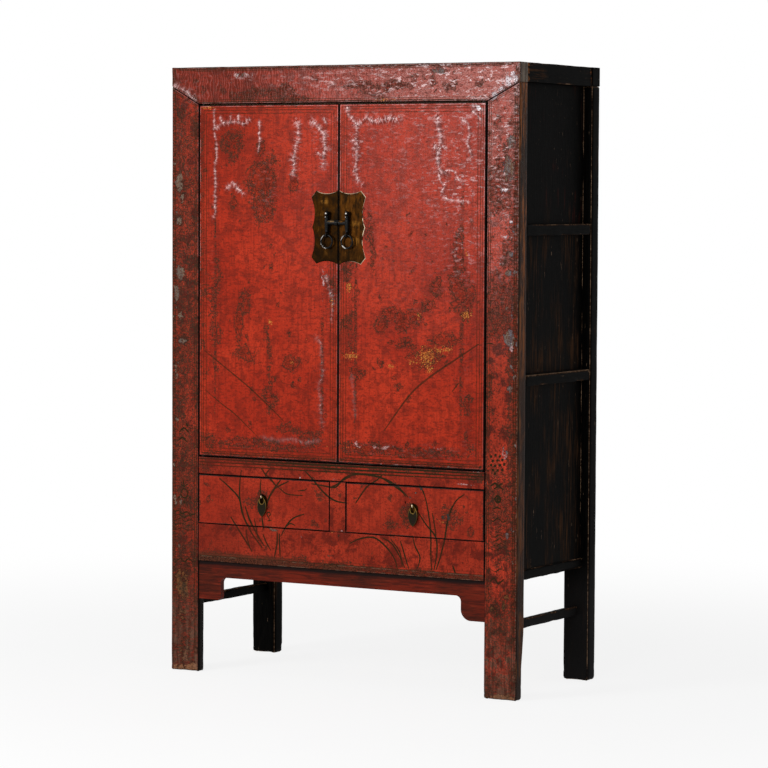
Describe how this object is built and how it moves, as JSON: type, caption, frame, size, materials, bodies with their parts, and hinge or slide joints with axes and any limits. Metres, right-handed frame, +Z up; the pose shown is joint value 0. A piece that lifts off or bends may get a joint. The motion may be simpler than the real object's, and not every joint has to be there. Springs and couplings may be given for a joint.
{
  "type": "wedding cabinet",
  "caption": "Tall red-lacquered cabinet with paired pivot-hung doors and a brass lock plate over a row of drawers, on square legs with a shaped apron.",
  "frame": {"origin": "on the floor, midway between the carcass's outer sides and midway between its front and back faces; the lock and pulls stand out past the front face", "axes": "+X along the front to the right as seen from the front, +Y from the front to the back, +Z up"},
  "size_m": [1.17, 0.5216, 1.8],
  "materials": {
    "red_lacquer": "crackled red lacquer over cloth on wood, satin",
    "dark_lacquer": "black lacquer worn to dark brown wood, satin",
    "bare_wood": "bare aged elm",
    "aged_brass": "dark aged brass with bright worn edges",
    "dark_iron": "dark forged metal, rubbed"
  },
  "bodies": {
    "carcass": {"bottom_board": "bare_wood", "cupboard_floor": "bare_wood", "drawer_divider": "red_lacquer", "drawer_runners": "bare_wood", "floor_bearers": "bare_wood", "front_apron": "red_lacquer", "front_bottom_rail": "red_lacquer", "front_left_post": "red_lacquer", "front_middle_rail": "red_lacquer", "front_right_post": "red_lacquer", "front_top_rail": "red_lacquer", "left_bottom_rail": "dark_lacquer", "left_lower_panel": "dark_lacquer", "left_lower_rail": "dark_lacquer", "left_middle_panel": "dark_lacquer", "left_spandrel": "red_lacquer", "left_top_rail": "dark_lacquer", "left_upper_panel": "dark_lacquer", "left_upper_rail": "dark_lacquer", "leg_stretchers": "dark_lacquer", "lower_shelf": "bare_wood", "rear_bottom_rail": "dark_lacquer", "rear_left_post": "dark_lacquer", "rear_panels": "dark_lacquer", "rear_rails": "dark_lacquer", "rear_right_post": "dark_lacquer", "rear_top_rail": "dark_lacquer", "right_bottom_rail": "dark_lacquer", "right_lower_panel": "dark_lacquer", "right_lower_rail": "dark_lacquer", "right_middle_panel": "dark_lacquer", "right_spandrel": "red_lacquer", "right_top_rail": "dark_lacquer", "right_upper_panel": "dark_lacquer", "right_upper_rail": "dark_lacquer", "top_panel": "dark_lacquer", "top_panel_battens": "bare_wood", "upper_shelf": "bare_wood"},
    "left_door": {"left_door_crosspieces": "red_lacquer", "left_door_hinge_stile": "red_lacquer", "left_door_meeting_stile": "red_lacquer", "left_door_panel": "red_lacquer", "left_lock_plate": "aged_brass", "left_lock_staple": "dark_iron"},
    "right_door": {"right_door_crosspieces": "red_lacquer", "right_door_hinge_stile": "red_lacquer", "right_door_meeting_stile": "red_lacquer", "right_door_panel": "red_lacquer", "right_lock_plate": "aged_brass", "right_lock_staple": "dark_iron"},
    "left_drawer": {"left_drawer_box": "bare_wood", "left_drawer_front": "red_lacquer", "left_drawer_pull_plate": "aged_brass"},
    "right_drawer": {"right_drawer_box": "bare_wood", "right_drawer_front": "red_lacquer", "right_drawer_pull_plate": "aged_brass"},
    "left_ring": {"left_door_ring": "dark_iron"},
    "right_ring": {"right_door_ring": "dark_iron"},
    "left_drop": {"left_drawer_drop": "dark_iron"},
    "right_drop": {"right_drawer_drop": "dark_iron"}
  },
  "joints": [
    {"name": "left_door_hinge", "type": "hinge", "parent": "carcass", "child": "left_door", "pos_m": [-0.475, -0.243, 1.168], "axis": [0, 0, -1], "range_deg": [0, 110]},
    {"name": "right_door_hinge", "type": "hinge", "parent": "carcass", "child": "right_door", "pos_m": [0.468, -0.243, 1.168], "axis": [0, 0, 1], "range_deg": [0, 110]},
    {"name": "left_drawer_slide", "type": "slide", "parent": "carcass", "child": "left_drawer", "axis": [0, -1, 0], "range_m": [0, 0.3]},
    {"name": "right_drawer_slide", "type": "slide", "parent": "carcass", "child": "right_drawer", "axis": [0, -1, 0], "range_m": [0, 0.3]},
    {"name": "left_ring_swing", "type": "hinge", "parent": "left_door", "child": "left_ring", "pos_m": [-0.0375, -0.262, 1.31], "axis": [-1, 0, 0], "range_deg": [-5, 95]},
    {"name": "right_ring_swing", "type": "hinge", "parent": "right_door", "child": "right_ring", "pos_m": [0.0305, -0.262, 1.31], "axis": [-1, 0, 0], "range_deg": [-5, 95]},
    {"name": "left_drop_swing", "type": "hinge", "parent": "left_drawer", "child": "left_drop", "pos_m": [-0.25925, -0.2581, 0.538], "axis": [-1, 0, 0], "range_deg": [-4, 95]},
    {"name": "right_drop_swing", "type": "hinge", "parent": "right_drawer", "child": "right_drop", "pos_m": [0.25225, -0.2581, 0.538], "axis": [-1, 0, 0], "range_deg": [-4, 95]}
  ]
}
